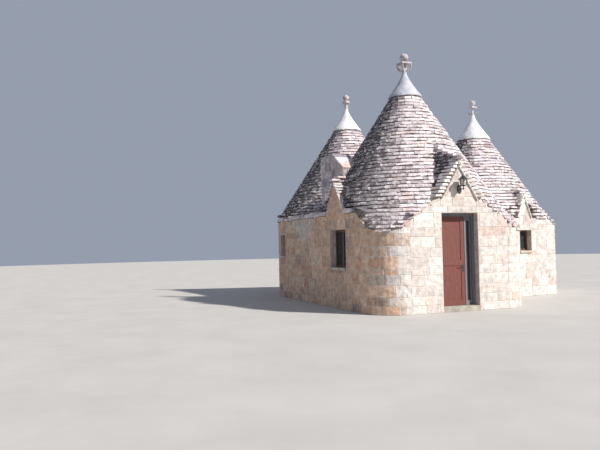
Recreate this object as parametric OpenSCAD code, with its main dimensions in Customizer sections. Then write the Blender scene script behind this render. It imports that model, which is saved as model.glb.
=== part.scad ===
// Trullo house: three stone-roofed cones over three round rooms.
// Millimetres, +Z up, front towards -Y. The origin is on the ground at the foot of the main cone's axis.

/* [Plan] */
// Main cone's axis to the left face of the house
main_half_w = 2150; // [2050:10:2250]
// Main cone's axis to the front face of the house
main_half_d = 2250; // [2200:10:2320]
// Radius of the rounded front corners
corner_r = 800; // [600:20:900]
// Radius of the main room
main_room_r = 1450; // [1350:10:1500]
// Left cone's axis, to the right of the main axis
left_axis_x = 150; // [50:10:250]
// Left cone's axis, behind the main axis
left_axis_y = 3900; // [3800:10:4000]
// Radius of the left room inside
left_room_r = 1450; // [1350:10:1500]
// Right cone's axis, to the right of the main axis
right_axis_x = 3650; // [3550:10:3750]
// Right cone's axis, behind the main axis
right_axis_y = 1900; // [1850:10:1980]
// Radius of the right house wall outside
right_r = 2300; // [2240:10:2360]
// Right cone's axis to the flat front of the right house
right_front_d = 1940; // [1900:10:1980]
// Turn of that front to the right, in degrees
right_front_turn = 7.5; // [6:0.5:9]
// Radius of the right room inside
right_room_r = 1400; // [1300:10:1450]
// Height of the wall heads
wall_h = 2350; // [2310:10:2430]
// Height of the right house's front wall head
right_head_z = 2260; // [2230:10:2290]
// Thickness of the stone floors
floor_t = 100; // [80:5:140]
// Inner face of the flat-topped left wall, from the main axis
flat_wall_in = 1350; // [1300:10:1420]

/* [Roofs] */
// Pitch of the stone cones
roof_pitch = 56.8; // [56:0.1:57.5]
// Height at which the main cone's sides would meet
main_apex_z = 6140; // [6100:10:6250]
// Height at which the left cone's sides would meet
left_apex_z = 6000; // [5950:10:6100]
// Height at which the right cone's sides would meet
right_apex_z = 5600; // [5550:10:5700]
// Height of one course of roof slabs
course_h = 95; // [85:1:110]
// Depth of the slab layer, measured plumb
slab_layer = 80; // [70:5:100]
// Slabs standing out over the wall face
eave_out = 50; // [40:5:80]
// Thickness of the slabs that cover the flat wall head
head_slab_t = 140; // [120:5:160]
// Straight neck of each plaster cap under its pinnacle
neck_h = 50; // [30:5:70]
// Height of the plaster cap under the main cone's point
main_cap_h = 590; // [450:10:650]
// Height of the plaster cap under the left cone's point
left_cap_h = 640; // [500:10:700]
// Height of the plaster cap under the right cone's point
right_cap_h = 700; // [500:10:750]
// Height of the springing of the inner domes
spring_z = 1950; // [1900:10:2000]
// Stone left over the top of each inner dome, measured plumb
crown_t = 700; // [600:10:900]

/* [Gables] */
// Half width of the front gable
front_gable_half = 500; // [460:5:540]
// Front gable's top over the roof at the wall face
front_gable_over = 660; // [610:10:710]
// Feet of the front gable's slopes
front_gable_foot = 2550; // [2500:10:2600]
// Height of the slabs over the front gable's top
front_gable_lift = 215; // [190:5:240]
// Length of the front gable's slabs at its feet
front_gable_spread = 270; // [240:5:300]
// Half width of the left gable
left_gable_half = 520; // [480:5:560]
// Left gable's top over the roof at the wall face
left_gable_over = 300; // [260:10:340]
// Height of the slabs over the left gable's top
left_gable_lift = 95; // [80:5:110]
// Length of the left gable's slabs at its feet
left_gable_spread = 75; // [60:5:90]
// Half width of the right gable
right_gable_half = 225; // [205:5:245]
// Right gable's top over the roof at the wall face
right_gable_over = 150; // [110:10:190]
// Height of the slabs over the right gable's top
right_gable_lift = 225; // [200:5:250]
// Length of the right gable's slabs at its feet
right_gable_spread = 270; // [240:5:300]
// Climb of the gable ridges towards the cones
ridge_climb = 23; // [20:1:26]
// Thickness of each gable's wall
gable_wall_t = 350; // [300:10:400]
// Slabs standing out in front of the gable walls
verge_out = 70; // [50:5:90]

/* [Door] */
// Width of the door opening in the masonry
door_w = 1000; // [960:10:1040]
// Height of the underside of the door's lintel
door_z = 2280; // [2240:10:2300]
// Depth of the door's outer reveal
door_reveal = 150; // [120:5:200]
// Width of the narrow door leaf
narrow_leaf_w = 189; // [180:1:210]
// Height of the threshold stone
threshold_h = 120; // [110:5:140]
// Height of the lintel stone
lintel_h = 150; // [130:5:170]
// Bearing of the lintel on each side of the door
lintel_bear = 180; // [150:10:220]

/* [Windows] */
// Width of the left window
left_win_w = 910; // [870:10:950]
// Left window's axis, in front of the main axis
left_win_y = 145; // [125:5:165]
// Sill height of the left window
left_win_low = 1020; // [960:10:1080]
// Lintel height of the left window
left_win_high = 1970; // [1920:10:2000]
// Width of the slit window at the back of the left side
slit_w = 420; // [360:10:460]
// Sill height of the slit window
slit_low = 1280; // [1220:10:1340]
// Lintel height of the slit window
slit_high = 1930; // [1880:10:1960]
// Width of the right window
right_win_w = 480; // [440:10:520]
// Sill height of the right window
right_win_low = 1320; // [1260:10:1380]
// Lintel height of the right window
right_win_high = 1910; // [1880:10:1930]
// Depth of the windows' outer reveals
win_reveal = 160; // [120:10:200]
// Thickness of the window sills
sill_t = 60; // [50:5:80]

/* [Chimney] */
// Top of the chimney stack
chimney_z = 3960; // [3890:10:4040]
// Near side of the stack, behind the main axis
chimney_y0 = 600; // [550:10:650]
// Length of the stack along the wall
chimney_len = 750; // [700:10:800]
// Left wall's face to the outer face of the stack
chimney_in = 250; // [210:10:290]
// Thickness of the stack
chimney_t = 480; // [440:10:520]
// Pitch of the sloping shoulder
shoulder_pitch = 34; // [31:1:37]

/* [Pinnacles] */
// Diameter of the main pinnacle's ball
main_ball_d = 230; // [210:5:250]
// Diameter of the side pinnacles' balls
side_ball_d = 195; // [180:5:220]
// Width across the arms of the main pinnacle's crown
main_crown_w = 300; // [270:5:330]
// Width across the arms of the right pinnacle's crown
right_crown_w = 215; // [190:5:240]
// Diameter of the left pinnacle's disc
left_disc_d = 250; // [230:5:270]

/* [Lantern] */
// Width of the lantern's hood, corner to corner
hood_w = 230; // [210:5:250]
// Height of the centre of the lantern's wall plate
plate_z = 2825; // [2800:5:2850]
// Lantern's axis in front of the wall
lantern_out = 170; // [160:5:190]

/* [Hidden] */
$fn = 240;

// Plan points and slopes
main_axis = [0, 0];
left_axis = [left_axis_x, left_axis_y];
right_axis = [right_axis_x, right_axis_y];
left_r = left_axis_x + main_half_w;
rise = tan(roof_pitch);
far = 12000;
tall = 8000;
over = 1;

// Colours, as the photograph shows them
wall_stone = [0.86, 0.78, 0.68];
roof_stone = [0.66, 0.61, 0.58];
plaster = [0.94, 0.93, 0.90];
floor_stone = [0.70, 0.66, 0.60];
door_wood = [0.42, 0.20, 0.15];
grey_paint = [0.42, 0.42, 0.45];
dark_metal = [0.10, 0.13, 0.13];
pane = [0.12, 0.15, 0.17];

function unit(v) = v / norm(v);
function turn(v) = [-v.y, v.x];
// How far the valley between two cones lies from the first one's axis
function valley_d(a, za, b, zb) = (norm(b - a) + (za - zb) / rise) / 2;
// Where the lines p.u = d and p.v = e cross
function cross_point(u, d, v, e) = [d * v.y - e * u.y, e * u.x - d * v.x] / (u.x * v.y - u.y * v.x);

to_left = unit(left_axis - main_axis);
to_right = unit(right_axis - main_axis);
left_to_right = unit(right_axis - left_axis);
// The point where the three roof valleys meet, and the way each valley runs out from it
valley_point = cross_point(
    to_left, valley_d(main_axis, main_apex_z, left_axis, left_apex_z),
    to_right, valley_d(main_axis, main_apex_z, right_axis, right_apex_z));
main_left_run = turn(to_left);
main_right_run = -turn(to_right);
left_right_run = turn(left_to_right);

// Ground that each room and its cone take up, out from the valleys
module main_ground() polygon([
    valley_point, valley_point + far * main_left_run, [-far, -far], valley_point + far * main_right_run]);
module left_ground() polygon([
    valley_point, valley_point + far * left_right_run, [-far, far], valley_point + far * main_left_run]);
module right_ground() polygon([
    valley_point, valley_point + far * main_right_run, [far, -far], [far, far],
    valley_point + far * left_right_run]);

// Outline of the house, grown by g all round
module outline(g = 0) {
    difference() {
        translate([-main_half_w - g, -main_half_d - g])
            square([2 * (main_half_w + g), 2 * main_half_d + g]);
        for (s = [-1, 1])
            translate([s * (main_half_w + g) - (s + 1) / 2 * (corner_r + g), -main_half_d - g])
                square([corner_r + g, corner_r + g]);
    }
    for (s = [-1, 1])
        translate([s * (main_half_w - corner_r), corner_r - main_half_d]) circle(r = corner_r + g);
    translate([-main_half_w - g, 0]) square([left_r + g, left_axis_y]);
    translate(left_axis) circle(r = left_r + g);
    intersection() {
        translate(right_axis) circle(r = right_r + g);
        at_right_front() translate([-far, -right_front_d - g]) square([2 * far, 2 * far]);
    }
}
// Carries what is drawn round the origin to the right cone's axis, turned to the right house's front
module at_right_front() translate(right_axis) rotate([0, 0, right_front_turn]) children();

// Solid cone under a roof's mean surface, lowered by drop
module under_roof(axis, apex_z, drop = 0)
    translate(axis) cylinder(h = apex_z - drop, r1 = (apex_z - drop) / rise, r2 = 0);

// Space inside a room: a drum up to the springing and a pointed dome above it
module room_space(axis, r, top) {
    dome_h = top - spring_z;
    translate(axis) rotate_extrude() polygon(concat(
        [[0, -over], [r, -over], [r, spring_z]],
        [for (t = [0.2:0.2:0.8]) [r * pow(1 - t, 0.62), spring_z + dome_h * t]],
        [[0.12 * r, top], [0, top]]));
}
module main_space() room_space(main_axis, main_room_r, main_apex_z - main_cap_h - crown_t);
module left_space() room_space(left_axis, left_room_r, left_apex_z - left_cap_h - crown_t);
module right_space() room_space(right_axis, right_room_r, right_apex_z - right_cap_h - crown_t);

// Arched passages between the main room and the side rooms
passage_w = 800;
passage_spring = 1500;
// The arch is a segment: its centre lies this far below the springing
arch_drop = 120;
arch_r = norm([passage_w / 2, arch_drop]);
// The passage's way through in plan, as tall as the walls
module passage_strip(towards, len)
    rotate([0, 0, atan2(towards.y, towards.x)]) translate([0, -passage_w / 2]) square([len, passage_w]);

// Ground of the left wall between the cones, which has a flat head
module flat_wall_strip(g = 0)
    translate([-main_half_w - g, 0]) square([main_half_w - flat_wall_in + g, left_axis_y]);

// Outer ring of the walls, which stands up past the wall heads to the roof slabs
ring_t = 100;
// The ring runs from the left end of the straight front round to the back
front_straight = main_half_w - corner_r;
module edge_ring() difference() {
    outline();
    outline(-ring_t);
    translate([-far - front_straight, -far]) square([far, 2 * far]);
}
// Space over the level head of the right house's front wall, as deep as the ring and a little more
module over_right_head(more = 0) at_right_front() translate([-far, -far, right_head_z])
    cube([2 * far, far - right_front_d + ring_t + more, tall]);
// Masonry of one room over a piece of its ground
module walls(axis, apex_z) {
    intersection() {
        union() {
            linear_extrude(wall_h) children();
            linear_extrude(tall) intersection() {
                edge_ring();
                children();
            }
        }
        union() {
            under_roof(axis, apex_z, slab_layer);
            linear_extrude(wall_h) flat_wall_strip();
        }
    }
}
module main_walls() difference() {
    walls(main_axis, main_apex_z) intersection() {
        outline();
        main_ground();
        children();
    }
    main_space();
}
module left_walls() difference() {
    walls(left_axis, left_apex_z) intersection() {
        outline();
        left_ground();
        children();
    }
    left_space();
}
module right_walls() difference() {
    walls(right_axis, right_apex_z) intersection() {
        outline();
        right_ground();
        children();
    }
    right_space();
    over_right_head(over);
}

// Block between two plan angles round an axis
module sector(axis, a0, a1) {
    mid = (a0 + a1) / 2;
    translate(axis) polygon([
        [0, 0], far * [cos(a0), sin(a0)], 2 * far * [cos(mid), sin(mid)], far * [cos(a1), sin(a1)]]);
}

front_gable_z = main_apex_z - rise * main_half_d + front_gable_over;
left_gable_z = main_apex_z - rise * main_half_w + left_gable_over;
left_gable_foot = wall_h + head_slab_t;
right_gable_z = right_apex_z - rise * right_front_d + right_gable_over;

// Carries a shape in X and Z inwards from the wall face at d, climbing as it goes, for t in and out outwards
module climb(d, foot, t, out) intersection() {
    translate([0, -d, foot]) rotate([90 + ridge_climb, 0, 0]) translate([0, 0, -far])
        linear_extrude(2 * far) scale([1, cos(ridge_climb)]) translate([0, -foot]) children();
    translate([-far, -d - out, -far]) cube([2 * far, t + out, 2 * far]);
}
// Wall of a gable, standing on z0
module gable_block(half, top, foot, z0, d, out) intersection() {
    climb(d, foot, gable_wall_t, out)
        polygon([[-half, foot - far], [half, foot - far], [half, foot], [0, top], [-half, foot]]);
    translate([-half, -d - out, z0]) cube([2 * half, gable_wall_t + out, far]);
}
module front_gable_block(out = 0) gable_block(
    front_gable_half, front_gable_z, front_gable_foot, door_z + lintel_h, main_half_d, out);
module left_gable_block(out = 0) rotate([0, 0, -90]) gable_block(
    left_gable_half, left_gable_z, left_gable_foot, left_win_high, main_half_w, out);
module right_gable_block(out = 0) at_right_front() gable_block(
    right_gable_half, right_gable_z, right_head_z, right_head_z, right_front_d, out);

// Floors
module room_floor(axis, r) translate(axis) cylinder(h = floor_t, r = r);
module room_floors() color(floor_stone) {
    room_floor(main_axis, main_room_r);
    room_floor(left_axis, left_room_r);
    room_floor(right_axis, right_room_r);
    linear_extrude(floor_t) passage_strip(to_left, left_axis_y);
    linear_extrude(floor_t) passage_strip(to_right, norm(right_axis));
}
module door_threshold() color(wall_stone) difference() {
    translate([-door_w / 2, -main_half_d, 0]) cube([door_w, main_half_d, threshold_h]);
    translate([0, 0, -over]) cylinder(h = threshold_h + 2 * over, r = main_room_r);
}

// Main room's walls
left_win_front = left_win_y + left_win_w / 2;
module front_wall_left() color(wall_stone) difference() {
    main_walls() translate([-far, -far]) square([far - door_w / 2, far - left_win_front]);
    front_gable_block(eave_out);
    lintel_block(over);
    left_gable_block(eave_out);
}
right_passage_a = atan2(to_right.y, to_right.x);
left_passage_a = atan2(to_left.y, to_left.x);
module front_wall_right() color(wall_stone) difference() {
    main_walls() difference() {
        intersection() {
            translate([door_w / 2, -far]) square([far, 2 * far]);
            sector(main_axis, -90, right_passage_a);
        }
        passage_strip(to_right, far);
    }
    front_gable_block(eave_out);
    lintel_block(over);
}
module lintel_block(out = 0)
    translate([-door_w / 2 - lintel_bear, -main_half_d - out, door_z])
        cube([door_w + 2 * lintel_bear, gable_wall_t + out, lintel_h]);
// Door lintel: a long stone in the face, backed by the masonry over the inner part of the door
module door_lintel() color(plaster) {
    intersection() {
        lintel_block();
        union() {
            front_gable_block();
            under_roof(main_axis, main_apex_z, slab_layer);
        }
    }
    difference() {
        intersection() {
            main_walls() translate([-door_w / 2, -far]) square([door_w, far]);
            translate([-far, -far, door_z]) cube([2 * far, far, lintel_h]);
        }
        front_gable_block(eave_out);
    }
}
module front_gable() color(wall_stone) front_gable_block();
module left_window_parapet() color(wall_stone) intersection() {
    main_walls() translate([-far, -left_win_front]) square([far, left_win_w]);
    translate([-far, -far, 0]) cube([far, 2 * far, left_win_low - sill_t]);
}
module left_gable() color(wall_stone) {
    left_gable_block();
    difference() {
        intersection() {
            main_walls() translate([-far, -left_win_front]) square([far, left_win_w]);
            translate([-far, -far, left_win_high]) cube([far, 2 * far, tall]);
        }
        left_gable_block(eave_out);
    }
}
module left_wall_rear() color(wall_stone) difference() {
    main_walls() difference() {
        intersection() {
            translate([-far, left_win_w - left_win_front]) square([2 * far, far]);
            sector(main_axis, left_passage_a, 180);
        }
        passage_strip(to_left, far);
    }
    left_gable_block(eave_out);
}
module inner_pier() color(wall_stone) main_walls() difference() {
    sector(main_axis, right_passage_a, left_passage_a);
    passage_strip(to_left, far);
    passage_strip(to_right, far);
}
module passage_arch(towards, len) difference() {
    translate([0, 0, passage_spring])
        linear_extrude(wall_h - passage_spring) passage_strip(towards, len);
    translate([0, 0, passage_spring - arch_drop])
        rotate([0, 90, atan2(towards.y, towards.x)]) cylinder(h = len, r = arch_r);
    main_space();
    left_space();
    right_space();
}
module passage_arches() color(wall_stone) {
    passage_arch(to_left, left_axis_y);
    passage_arch(to_right, norm(right_axis));
}

// Window hole: w wide, from low to high, cut outwards from a room's axis at plan angle a
module window_hole(axis, a, w, low, high)
    translate([axis.x, axis.y, low - sill_t]) rotate([0, 0, a]) translate([0, -w / 2, 0])
        cube([far, w, high - low + sill_t]);

// Left room's walls
left_inner_a = 15;
module left_room_side_wall() color(wall_stone) difference() {
    left_walls() difference() {
        sector(left_axis, 120, 180 + left_passage_a);
        passage_strip(to_left, left_axis_y);
    }
    window_hole(left_axis, 180, slit_w, slit_low, slit_high);
}
module left_room_back_wall() color(wall_stone) left_walls() sector(left_axis, left_inner_a, 120);
module left_room_inner_wall() color(wall_stone) left_walls() difference() {
    sector(left_axis, left_passage_a - 180, left_inner_a);
    passage_strip(to_left, left_axis_y);
}

// Right room's walls
module right_room_front_wall() color(wall_stone) difference() {
    right_walls() difference() {
        sector(right_axis, right_passage_a - 180, -60);
        passage_strip(to_right, norm(right_axis));
    }
    window_hole(right_axis, right_front_turn - 90, right_win_w, right_win_low, right_win_high);
    right_gable_block(eave_out);
}
module right_gable() color(wall_stone) right_gable_block();
module right_room_side_wall() color(wall_stone) right_walls() sector(right_axis, -60, 60);
module right_room_inner_wall() color(wall_stone) right_walls() difference() {
    sector(right_axis, 60, 180 + right_passage_a);
    passage_strip(to_right, norm(right_axis));
}

// Structural dome of one cone: the masonry over the wall heads
module dome(axis, apex_z, cap_h) {
    intersection() {
        translate([0, 0, wall_h]) linear_extrude(tall) intersection() {
            outline(-ring_t);
            children();
        }
        under_roof(axis, apex_z, slab_layer);
        translate([-far, -far, wall_h]) cube([2 * far, 2 * far, apex_z - cap_h - slab_layer - wall_h]);
    }
}
module main_dome() color(wall_stone) difference() {
    dome(main_axis, main_apex_z, main_cap_h) main_ground();
    main_space();
    front_gable_block(eave_out);
    lintel_block(over);
    left_gable_block(eave_out);
}
module left_dome() color(wall_stone) difference() {
    dome(left_axis, left_apex_z, left_cap_h) left_ground();
    left_space();
}
module right_dome() color(wall_stone) difference() {
    dome(right_axis, right_apex_z, right_cap_h) right_ground();
    right_space();
    right_gable_block(eave_out);
}

// Slab covering of one cone: level courses, each set back from the one below
eave_low = 1400;
function course_count(top) = floor((top - eave_low) / course_h);
module stepped_cone(axis, apex_z, top) {
    n = course_count(top);
    z0 = top - n * course_h;
    translate(axis) rotate_extrude() polygon(concat(
        [[0, z0]],
        [for (k = [0:n - 1], up = [0, 1])
            [(apex_z - z0 - (k + 0.5) * course_h) / rise, z0 + (k + up) * course_h]],
        [[0, top]]));
}
// Space that the walls and domes fill under the slabs
module under_slabs(axis, apex_z, cap_h) difference() {
    walled_space(axis, apex_z, cap_h);
    if (axis == right_axis) over_right_head();
}
module walled_space(axis, apex_z, cap_h) intersection() {
    under_roof(axis, apex_z, slab_layer);
    union() {
        linear_extrude(wall_h) outline(2 * eave_out);
        linear_extrude(tall) outline(-ring_t);
        linear_extrude(tall) intersection() {
            outline(2 * eave_out);
            translate([-front_straight, -far]) square([2 * far, 2 * far]);
        }
    }
    translate([-far, -far, 0]) cube([2 * far, 2 * far, apex_z - cap_h - slab_layer]);
}
chimney_x = main_half_w - chimney_in;
module chimney_plan() translate([-chimney_x, 0]) square([chimney_t, chimney_y0 + chimney_len]);
module roof_slabs(axis, apex_z, cap_h) difference() {
    intersection() {
        union() {
            stepped_cone(axis, apex_z, apex_z - cap_h);
            linear_extrude(wall_h + head_slab_t) difference() {
                flat_wall_strip(eave_out);
                chimney_plan();
            }
        }
        linear_extrude(tall) intersection() {
            outline(eave_out);
            children();
        }
    }
    under_slabs(axis, apex_z, cap_h);
    linear_extrude(wall_h) flat_wall_strip(2 * eave_out);
}
module main_roof_slabs() color(roof_stone) difference() {
    roof_slabs(main_axis, main_apex_z, main_cap_h) main_ground();
    front_gable_block(2 * eave_out);
    left_gable_block(2 * eave_out);
}
module left_roof_slabs() color(roof_stone) roof_slabs(left_axis, left_apex_z, left_cap_h) left_ground();
module right_roof_slabs() color(roof_stone) difference() {
    roof_slabs(right_axis, right_apex_z, right_cap_h) right_ground();
    right_gable_block(2 * eave_out);
}

// Plaster cap: a smooth cone that sweeps up into a round neck
neck_r = 62;
function cap_flare(r0, h, t) = neck_r + (r0 - neck_r) * pow(1 - t, 1.25);
module cap(axis, apex_z, cap_h) color(plaster) {
    r0 = (cap_h + course_h / 2) / rise;
    translate([axis.x, axis.y, apex_z - cap_h]) rotate_extrude() polygon(concat(
        [[0, 0]], [for (t = [0:0.125:1]) [cap_flare(r0, cap_h, t), t * cap_h]],
        [[neck_r, cap_h + neck_h], [0, cap_h + neck_h]]));
}
module main_cap() cap(main_axis, main_apex_z, main_cap_h);
module left_cap() cap(left_axis, left_apex_z, left_cap_h);
module right_cap() cap(right_axis, right_apex_z, right_cap_h);

// Openwork crown: a stem, a square table and four curved arms that carry its corners
crown_h = 250;
module crown(w) {
    stem = 0.3 * w;
    bar = 0.14 * w;
    cylinder(h = crown_h, d = stem);
    translate([-w / 2, -w / 2, crown_h - bar]) cube([w, w, bar]);
    for (a = [45:90:315]) rotate([0, 0, a]) translate([0, bar / 2, 0]) rotate([90, 0, 0])
        linear_extrude(bar) intersection() {
            difference() {
                translate([0, crown_h - bar / 2]) circle(r = crown_h - bar / 2);
                translate([0, crown_h - bar / 2]) circle(r = crown_h - 1.6 * bar);
            }
            square([0.66 * w, crown_h - bar / 2]);
        }
}
collar_h = 45;
module main_pinnacle() color(plaster) translate([0, 0, main_apex_z + neck_h]) {
    crown(main_crown_w);
    translate([0, 0, crown_h]) cylinder(h = collar_h, d = 0.6 * main_ball_d);
}
module right_pinnacle() color(plaster) translate([right_axis.x, right_axis.y, right_apex_z + neck_h]) {
    crown(right_crown_w);
    translate([0, 0, crown_h]) cylinder(h = collar_h, d = 0.6 * side_ball_d);
}
disc_t = 60;
module left_pinnacle() color(plaster) translate([left_axis.x, left_axis.y, left_apex_z + neck_h]) {
    cylinder(h = crown_h - disc_t, r = neck_r);
    translate([0, 0, crown_h - disc_t]) cylinder(h = disc_t, d = left_disc_d);
    translate([0, 0, crown_h]) cylinder(h = collar_h, d = 0.6 * side_ball_d);
}
// Ball on a collar, cut flat where it beds
module ball(axis, apex_z, d)
    translate([axis.x, axis.y, apex_z + neck_h + crown_h + collar_h]) intersection() {
        translate([0, 0, 0.42 * d]) sphere(d = d);
        translate([-d, -d, 0]) cube([2 * d, 2 * d, 2 * d]);
    }
module pinnacle_balls() color(plaster) {
    ball(main_axis, main_apex_z, main_ball_d);
    ball(left_axis, left_apex_z, side_ball_d);
    ball(right_axis, right_apex_z, side_ball_d);
}

// Stone saddle of a gable: two slopes of slabs that spread towards their feet under a climbing ridge
module saddle(half, top, foot, lift, spread, d) climb(d, foot, d, verge_out) polygon([
    [-half, foot], [0, top], [half, foot], [half + spread, foot], [0, top + lift], [-half - spread, foot]]);
envelope = -course_h / 2;
module front_gable_slabs() color(roof_stone) difference() {
    saddle(
        front_gable_half, front_gable_z, front_gable_foot,
        front_gable_lift, front_gable_spread, main_half_d);
    under_roof(main_axis, main_apex_z, envelope);
}
module left_gable_slabs() color(roof_stone) difference() {
    rotate([0, 0, -90]) saddle(
        left_gable_half, left_gable_z, left_gable_foot,
        left_gable_lift, left_gable_spread, main_half_w);
    under_roof(main_axis, main_apex_z, envelope);
}
module right_gable_slabs() color(roof_stone) difference() {
    at_right_front() saddle(
        right_gable_half, right_gable_z, right_head_z,
        right_gable_lift, right_gable_spread, right_front_d);
    under_roof(right_axis, right_apex_z, envelope);
}

// Chimney stack with a sloping shoulder towards the main cone
flue = 240;
flue_deep = 380;
module chimney() color(wall_stone) difference() {
    translate([-chimney_x, 0, 0]) rotate([90, 0, 90]) linear_extrude(chimney_t) polygon([
        [chimney_y0 + chimney_len, wall_h], [chimney_y0 + chimney_len, chimney_z], [chimney_y0, chimney_z],
        [0, chimney_z - chimney_y0 * tan(shoulder_pitch)], [0, wall_h]]);
    under_roof(main_axis, main_apex_z, envelope);
    under_roof(left_axis, left_apex_z, envelope);
    flue_x = (chimney_t - flue) / 2 - chimney_x;
    flue_y = chimney_y0 + (chimney_len - flue) / 2;
    translate([flue_x, flue_y, chimney_z - flue_deep]) cube([flue, flue, tall]);
    left_gable_slabs();
    left_gable_block();
}

// Door: a timber frame, a wide boarded leaf and a narrow glazed leaf
frame_w = 60;
frame_t = 80;
stop_w = 15;
leaf_t = 44;
gap = 6;
frame_y = -main_half_d + door_reveal;
frame_in = frame_y + frame_t;
leaf_y = frame_in - leaf_t;
leaf_low = threshold_h + gap;
leaf_high = door_z - frame_w - gap;
jamb_x = door_w / 2 - frame_w;
// Room between the two leaves, for the corners to swing past
meet_gap = 14;
wide_leaf_w = 2 * jamb_x - 2 * gap - meet_gap - narrow_leaf_w;
hinge_y = frame_in + 12;
hinge_r = 8;
hinge_h = 60;
hinge_zs = [leaf_low + 200, (leaf_low + leaf_high) / 2, leaf_high - 260];
// Lower knuckle of a hinge, fixed to the jamb on side s, with the pin that the leaf turns on
module frame_knuckle(s, z) translate([s * jamb_x, hinge_y, z]) {
    cylinder(h = hinge_h, r = hinge_r);
    cylinder(h = 2 * hinge_h, r = hinge_r / 2);
    translate([min(0, s * 20), -13, 0]) cube([20, 14, hinge_h]);
}
// Upper knuckle of a hinge, fixed to the leaf
module leaf_knuckle(s, z) translate([s * jamb_x, hinge_y, z + hinge_h + 0.3]) difference() {
    union() {
        cylinder(h = hinge_h, r = hinge_r);
        translate([min(-s * 5, -s * 35), leaf_y + leaf_t - hinge_y - 1, 0])
            cube([30, hinge_y - leaf_y - leaf_t + 5, hinge_h]);
    }
    translate([0, 0, -over]) cylinder(h = hinge_h + 2 * over, r = hinge_r / 2 + 0.3);
}
module door_frame() color(grey_paint) {
    difference() {
        translate([-door_w / 2, frame_y, threshold_h]) cube([door_w, frame_t, door_z - threshold_h]);
        translate([-jamb_x + stop_w, frame_y - over, threshold_h - over])
            cube([2 * (jamb_x - stop_w), frame_t + 2 * over, door_z - frame_w - stop_w - threshold_h + over]);
        translate([-jamb_x, leaf_y - gap, threshold_h - over])
            cube([2 * jamb_x, frame_t, door_z - frame_w - threshold_h + over]);
    }
    for (s = [-1, 1], z = hinge_zs) frame_knuckle(s, z);
}
module wide_leaf() color(door_wood) {
    stile = 90;
    rail = 120;
    difference() {
        translate([-jamb_x + gap, leaf_y, leaf_low]) cube([wide_leaf_w, leaf_t, leaf_high - leaf_low]);
        for (z = [leaf_low + rail, leaf_low + 1050])
            translate([-jamb_x + gap + stile, leaf_y - over, z])
                cube([wide_leaf_w - 2 * stile, 12 + over, z == leaf_low + rail ? 810 : leaf_high - z - rail]);
    }
    for (z = hinge_zs) leaf_knuckle(-1, z);
}
module door_handle() color(dark_metal) translate([-jamb_x + gap + wide_leaf_w - 45, leaf_y, leaf_low + 930]) {
    translate([0, 0, -60]) rotate([90, 0, 0]) linear_extrude(4) square([36, 180], center = true);
    rotate([90, 0, 0]) cylinder(h = 50, r = 8);
    translate([0, -50, 0]) rotate([0, -90, 0]) cylinder(h = 110, r = 8);
}
narrow_x = jamb_x - gap - narrow_leaf_w;
narrow_stile = 48;
narrow_rail = 110;
module narrow_leaf() color(grey_paint) {
    difference() {
        translate([narrow_x, leaf_y, leaf_low]) cube([narrow_leaf_w, leaf_t, leaf_high - leaf_low]);
        translate([narrow_x + narrow_stile, leaf_y - over, leaf_low + narrow_rail])
            cube([
                narrow_leaf_w - 2 * narrow_stile, leaf_t + 2 * over, leaf_high - leaf_low - 2 * narrow_rail]);
    }
    for (z = hinge_zs) leaf_knuckle(1, z);
}
module narrow_leaf_glass() color(pane)
    translate([narrow_x + narrow_stile, leaf_y + 18, leaf_low + narrow_rail])
        cube([narrow_leaf_w - 2 * narrow_stile, 6, leaf_high - leaf_low - 2 * narrow_rail]);

// Window frame and glass, drawn in X and Z with the outer face at y = 0
module sash(w, low, high, bars) {
    t = 55;
    difference() {
        translate([-w / 2, 0, low]) cube([w, 50, high - low]);
        for (k = [0:bars])
            translate([-w / 2 + t + k * (w - t) / (bars + 1), -over, low + t])
                cube([(w - t) / (bars + 1) - t, 50 + 2 * over, high - low - 2 * t]);
    }
}
module sash_glass(w, low, high, bars) {
    t = 55;
    for (k = [0:bars])
        translate([-w / 2 + t + k * (w - t) / (bars + 1), 20, low + t])
            cube([(w - t) / (bars + 1) - t, 6, high - low - 2 * t]);
}
module at_left_window() rotate([0, 0, -90]) translate([left_win_y, win_reveal - main_half_w, 0]) children();
module at_slit_window() translate([0, left_axis_y, 0]) rotate([0, 0, -90])
    translate([0, win_reveal - main_half_w, 0]) children();
module at_right_window() at_right_front() translate([0, win_reveal - right_front_d, 0]) children();
sill_out = 40;
module sill(w, low) translate([-w / 2, -win_reveal - sill_out, low - sill_t])
    cube([w, win_reveal + sill_out + 50, sill_t]);
module window_sills() color(wall_stone) {
    at_left_window() sill(left_win_w, left_win_low);
    at_slit_window() sill(slit_w, slit_low);
    at_right_window() sill(right_win_w, right_win_low);
}
module window_frames() color(door_wood) {
    at_left_window() sash(left_win_w, left_win_low, left_win_high, 1);
    at_slit_window() sash(slit_w, slit_low, slit_high, 0);
    at_right_window() sash(right_win_w, right_win_low, right_win_high, 0);
}
module window_glass() color(pane) {
    at_left_window() sash_glass(left_win_w, left_win_low, left_win_high, 1);
    at_slit_window() sash_glass(slit_w, slit_low, slit_high, 0);
    at_right_window() sash_glass(right_win_w, right_win_low, right_win_high, 0);
}

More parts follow.
